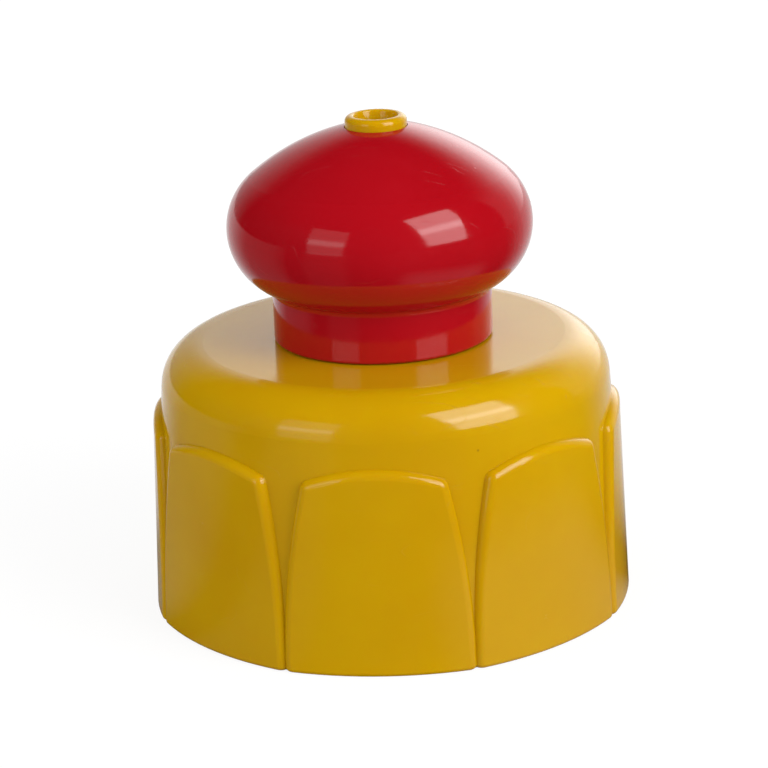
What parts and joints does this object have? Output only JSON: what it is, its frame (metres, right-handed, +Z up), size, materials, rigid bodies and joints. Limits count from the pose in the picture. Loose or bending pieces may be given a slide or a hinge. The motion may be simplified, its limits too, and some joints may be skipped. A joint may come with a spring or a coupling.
{
  "type": "screw cap",
  "caption": "Push and pull screw cap: a skirt with raised grip panels and a neck thread, and a mushroom knob that slides on a spout tube to open and shut the flow.",
  "frame": {"origin": "centre of the open rim that the cap stands on", "axes": "+Z up along the cap's axis, towards the knob; -Y is the middle of one grip panel"},
  "size_m": [0.033, 0.033, 0.0338],
  "materials": {
    "yellow_plastic": "gloss",
    "red_plastic": "gloss"
  },
  "bodies": {
    "closure": {"closure_body": "yellow_plastic"},
    "knob": {"push_pull_knob": "red_plastic"}
  },
  "joints": [
    {"name": "push_pull", "type": "slide", "parent": "closure", "child": "knob", "axis": [0, 0, 1], "range_m": [0, 0.0045]}
  ]
}
